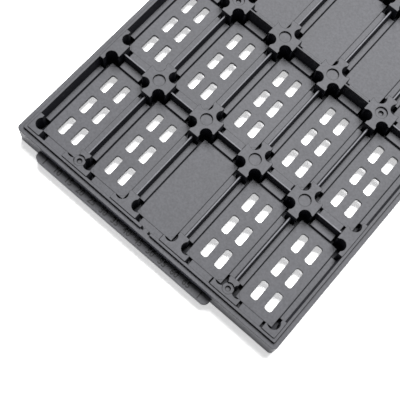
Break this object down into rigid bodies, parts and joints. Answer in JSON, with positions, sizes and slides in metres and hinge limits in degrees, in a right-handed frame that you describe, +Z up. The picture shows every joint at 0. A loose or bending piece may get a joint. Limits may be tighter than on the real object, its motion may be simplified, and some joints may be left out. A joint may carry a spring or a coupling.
{
  "type": "ic matrix tray",
  "caption": "Flat rectangular matrix tray with a grid of recessed pockets between star-shaped posts, vent slots, a stacking rim and end tabs.",
  "frame": {"origin": "centre of the footprint, on the plane that the skirt's foot stands on", "axes": "+Z up through the pocket mouths, +Y along the long side away from the end that the picture shows, +X across the tray"},
  "size_m": [0.136, 0.3226, 0.0122],
  "materials": {
    "tray_plastic": "matt moulded carbon-filled plastic, charcoal grey"
  },
  "bodies": {
    "root": {"matrix_tray": "tray_plastic"}
  },
  "joints": []
}
